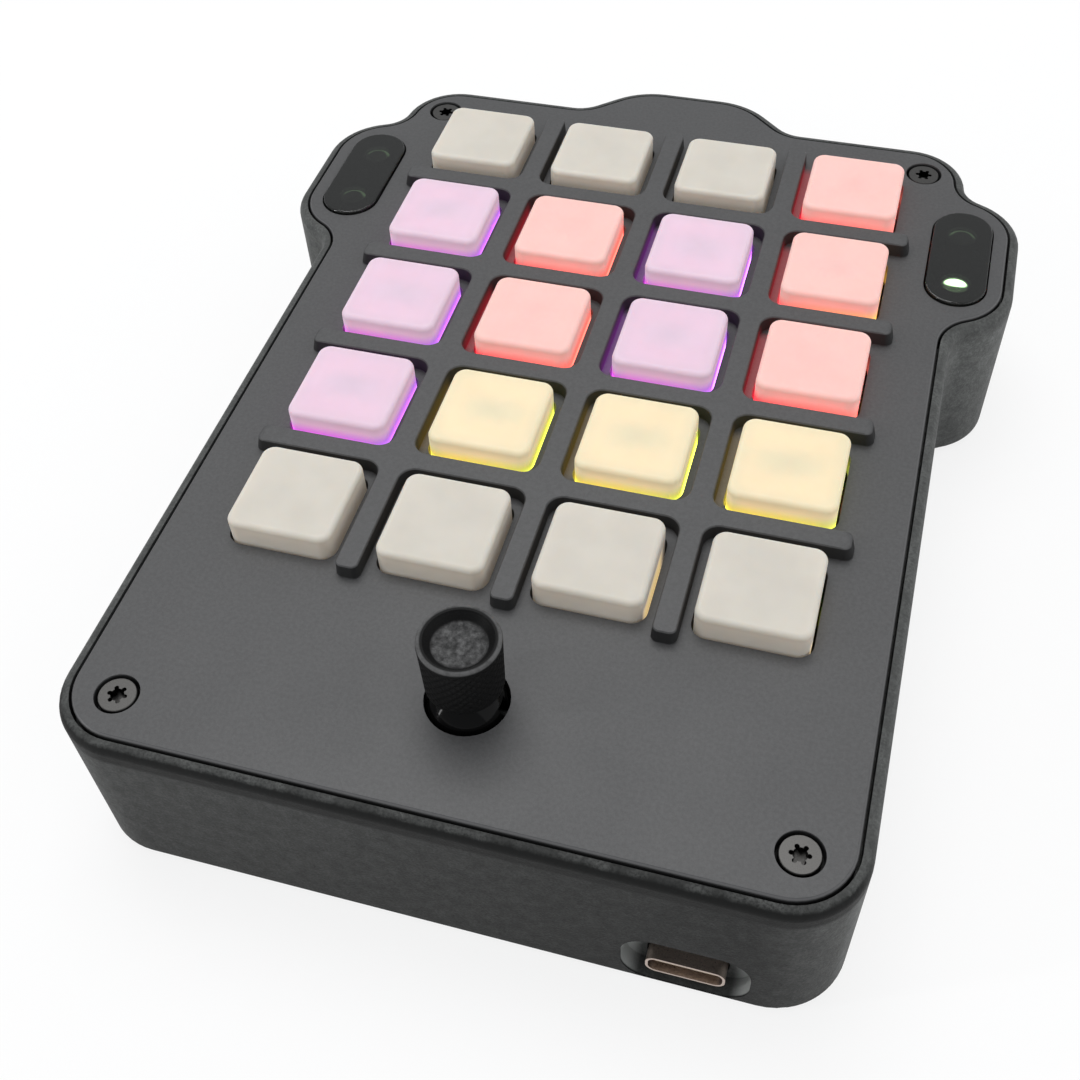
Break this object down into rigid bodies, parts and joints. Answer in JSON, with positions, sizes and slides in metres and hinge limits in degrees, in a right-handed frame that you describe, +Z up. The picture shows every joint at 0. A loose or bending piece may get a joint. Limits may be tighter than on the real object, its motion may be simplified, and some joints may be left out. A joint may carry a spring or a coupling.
{
  "type": "macro keypad",
  "caption": "Macro keypad: lit square keys in a ridged plate over a shallow tub with two ear windows, a two-axis thumb stick and a USB-C port.",
  "frame": {"origin": "middle of the case's bounding box, on the plane that the feet rest on", "axes": "+Z up through the keys, +Y from the thumb stick towards the far edge with the ear windows, +X to the right"},
  "size_m": [0.1062, 0.1368, 0.036],
  "materials": {
    "case": "fine-grained matte, printed shell",
    "plate": "satin dark grey",
    "screws": "blackened",
    "brass": "turned",
    "feet": "matte",
    "board": "solder mask",
    "black_plastic": "moulded",
    "port_metal": "drawn sheet",
    "lights": "clear resin",
    "pipes": "clear moulded",
    "windows": "glossy black",
    "stems": "natural",
    "stick": "fine knurl, black",
    "keycap": "frosted translucent silicone",
    "keycap_pink": "frosted, lit from below",
    "keycap_purple": "frosted, lit from below",
    "keycap_yellow": "frosted, lit from below"
  },
  "bodies": {
    "case": {"case_tub": "case", "top_plate": "plate", "plate_screws": "screws", "threaded_inserts": "brass", "rubber_feet": "feet", "key_board": "board", "board_screws": "screws", "controller_board": "board", "header_strips": "black_plastic", "usb_shell": "port_metal", "usb_tongue": "black_plastic", "board_leds": "lights", "light_pipes": "pipes", "ear_windows": "windows", "switch_housings": "black_plastic", "stick_housing": "black_plastic"},
    "stick_yoke_body": {"stick_yoke": "port_metal"},
    "stick_lever": {"stick_dome": "stick"},
    "stick_push": {"stick_shaft": "port_metal", "stick_cap": "stick"},
    "key_r1_c1": {"keycap_r1_c1": "keycap", "key_stem_r1_c1": "stems"},
    "key_r1_c2": {"keycap_r1_c2": "keycap", "key_stem_r1_c2": "stems"},
    "key_r1_c3": {"keycap_r1_c3": "keycap", "key_stem_r1_c3": "stems"},
    "key_r1_c4": {"keycap_r1_c4": "keycap", "key_stem_r1_c4": "stems"},
    "key_r2_c1": {"keycap_r2_c1": "keycap_purple", "key_stem_r2_c1": "stems"},
    "key_r2_c2": {"keycap_r2_c2": "keycap_yellow", "key_stem_r2_c2": "stems"},
    "key_r2_c3": {"keycap_r2_c3": "keycap_yellow", "key_stem_r2_c3": "stems"},
    "key_r2_c4": {"keycap_r2_c4": "keycap_yellow", "key_stem_r2_c4": "stems"},
    "key_r3_c1": {"keycap_r3_c1": "keycap_purple", "key_stem_r3_c1": "stems"},
    "key_r3_c2": {"keycap_r3_c2": "keycap_pink", "key_stem_r3_c2": "stems"},
    "key_r3_c3": {"keycap_r3_c3": "keycap_purple", "key_stem_r3_c3": "stems"},
    "key_r3_c4": {"keycap_r3_c4": "keycap_pink", "key_stem_r3_c4": "stems"},
    "key_r4_c1": {"keycap_r4_c1": "keycap_purple", "key_stem_r4_c1": "stems"},
    "key_r4_c2": {"keycap_r4_c2": "keycap_pink", "key_stem_r4_c2": "stems"},
    "key_r4_c3": {"keycap_r4_c3": "keycap_purple", "key_stem_r4_c3": "stems"},
    "key_r4_c4": {"keycap_r4_c4": "keycap_pink", "key_stem_r4_c4": "stems"},
    "key_r5_c1": {"keycap_r5_c1": "keycap", "key_stem_r5_c1": "stems"},
    "key_r5_c2": {"keycap_r5_c2": "keycap", "key_stem_r5_c2": "stems"},
    "key_r5_c3": {"keycap_r5_c3": "keycap", "key_stem_r5_c3": "stems"},
    "key_r5_c4": {"keycap_r5_c4": "keycap_pink", "key_stem_r5_c4": "stems"}
  },
  "joints": [
    {"name": "stick_tilt_forward", "type": "hinge", "parent": "case", "child": "stick_yoke_body", "pos_m": [0, -0.05217, 0.023], "axis": [1, 0, 0], "range_deg": [-18, 18], "stiffness_Nm_per_rad": 0.012},
    {"name": "stick_tilt_sideways", "type": "hinge", "parent": "stick_yoke_body", "child": "stick_lever", "pos_m": [0, -0.05217, 0.023], "axis": [0, 1, 0], "range_deg": [-18, 18], "stiffness_Nm_per_rad": 0.012},
    {"name": "stick_press", "type": "slide", "parent": "stick_lever", "child": "stick_push", "axis": [0, 0, -1], "range_m": [0, 0.0005], "stiffness_N_per_m": 1500, "springref_m": -0.001},
    {"name": "press_r1_c1", "type": "slide", "parent": "case", "child": "key_r1_c1", "axis": [0, 0, -1], "range_m": [0, 0.003], "stiffness_N_per_m": 110, "springref_m": -0.0018},
    {"name": "press_r1_c2", "type": "slide", "parent": "case", "child": "key_r1_c2", "axis": [0, 0, -1], "range_m": [0, 0.003], "stiffness_N_per_m": 110, "springref_m": -0.0018},
    {"name": "press_r1_c3", "type": "slide", "parent": "case", "child": "key_r1_c3", "axis": [0, 0, -1], "range_m": [0, 0.003], "stiffness_N_per_m": 110, "springref_m": -0.0018},
    {"name": "press_r1_c4", "type": "slide", "parent": "case", "child": "key_r1_c4", "axis": [0, 0, -1], "range_m": [0, 0.003], "stiffness_N_per_m": 110, "springref_m": -0.0018},
    {"name": "press_r2_c1", "type": "slide", "parent": "case", "child": "key_r2_c1", "axis": [0, 0, -1], "range_m": [0, 0.003], "stiffness_N_per_m": 110, "springref_m": -0.0018},
    {"name": "press_r2_c2", "type": "slide", "parent": "case", "child": "key_r2_c2", "axis": [0, 0, -1], "range_m": [0, 0.003], "stiffness_N_per_m": 110, "springref_m": -0.0018},
    {"name": "press_r2_c3", "type": "slide", "parent": "case", "child": "key_r2_c3", "axis": [0, 0, -1], "range_m": [0, 0.003], "stiffness_N_per_m": 110, "springref_m": -0.0018},
    {"name": "press_r2_c4", "type": "slide", "parent": "case", "child": "key_r2_c4", "axis": [0, 0, -1], "range_m": [0, 0.003], "stiffness_N_per_m": 110, "springref_m": -0.0018},
    {"name": "press_r3_c1", "type": "slide", "parent": "case", "child": "key_r3_c1", "axis": [0, 0, -1], "range_m": [0, 0.003], "stiffness_N_per_m": 110, "springref_m": -0.0018},
    {"name": "press_r3_c2", "type": "slide", "parent": "case", "child": "key_r3_c2", "axis": [0, 0, -1], "range_m": [0, 0.003], "stiffness_N_per_m": 110, "springref_m": -0.0018},
    {"name": "press_r3_c3", "type": "slide", "parent": "case", "child": "key_r3_c3", "axis": [0, 0, -1], "range_m": [0, 0.003], "stiffness_N_per_m": 110, "springref_m": -0.0018},
    {"name": "press_r3_c4", "type": "slide", "parent": "case", "child": "key_r3_c4", "axis": [0, 0, -1], "range_m": [0, 0.003], "stiffness_N_per_m": 110, "springref_m": -0.0018},
    {"name": "press_r4_c1", "type": "slide", "parent": "case", "child": "key_r4_c1", "axis": [0, 0, -1], "range_m": [0, 0.003], "stiffness_N_per_m": 110, "springref_m": -0.0018},
    {"name": "press_r4_c2", "type": "slide", "parent": "case", "child": "key_r4_c2", "axis": [0, 0, -1], "range_m": [0, 0.003], "stiffness_N_per_m": 110, "springref_m": -0.0018},
    {"name": "press_r4_c3", "type": "slide", "parent": "case", "child": "key_r4_c3", "axis": [0, 0, -1], "range_m": [0, 0.003], "stiffness_N_per_m": 110, "springref_m": -0.0018},
    {"name": "press_r4_c4", "type": "slide", "parent": "case", "child": "key_r4_c4", "axis": [0, 0, -1], "range_m": [0, 0.003], "stiffness_N_per_m": 110, "springref_m": -0.0018},
    {"name": "press_r5_c1", "type": "slide", "parent": "case", "child": "key_r5_c1", "axis": [0, 0, -1], "range_m": [0, 0.003], "stiffness_N_per_m": 110, "springref_m": -0.0018},
    {"name": "press_r5_c2", "type": "slide", "parent": "case", "child": "key_r5_c2", "axis": [0, 0, -1], "range_m": [0, 0.003], "stiffness_N_per_m": 110, "springref_m": -0.0018},
    {"name": "press_r5_c3", "type": "slide", "parent": "case", "child": "key_r5_c3", "axis": [0, 0, -1], "range_m": [0, 0.003], "stiffness_N_per_m": 110, "springref_m": -0.0018},
    {"name": "press_r5_c4", "type": "slide", "parent": "case", "child": "key_r5_c4", "axis": [0, 0, -1], "range_m": [0, 0.003], "stiffness_N_per_m": 110, "springref_m": -0.0018}
  ]
}
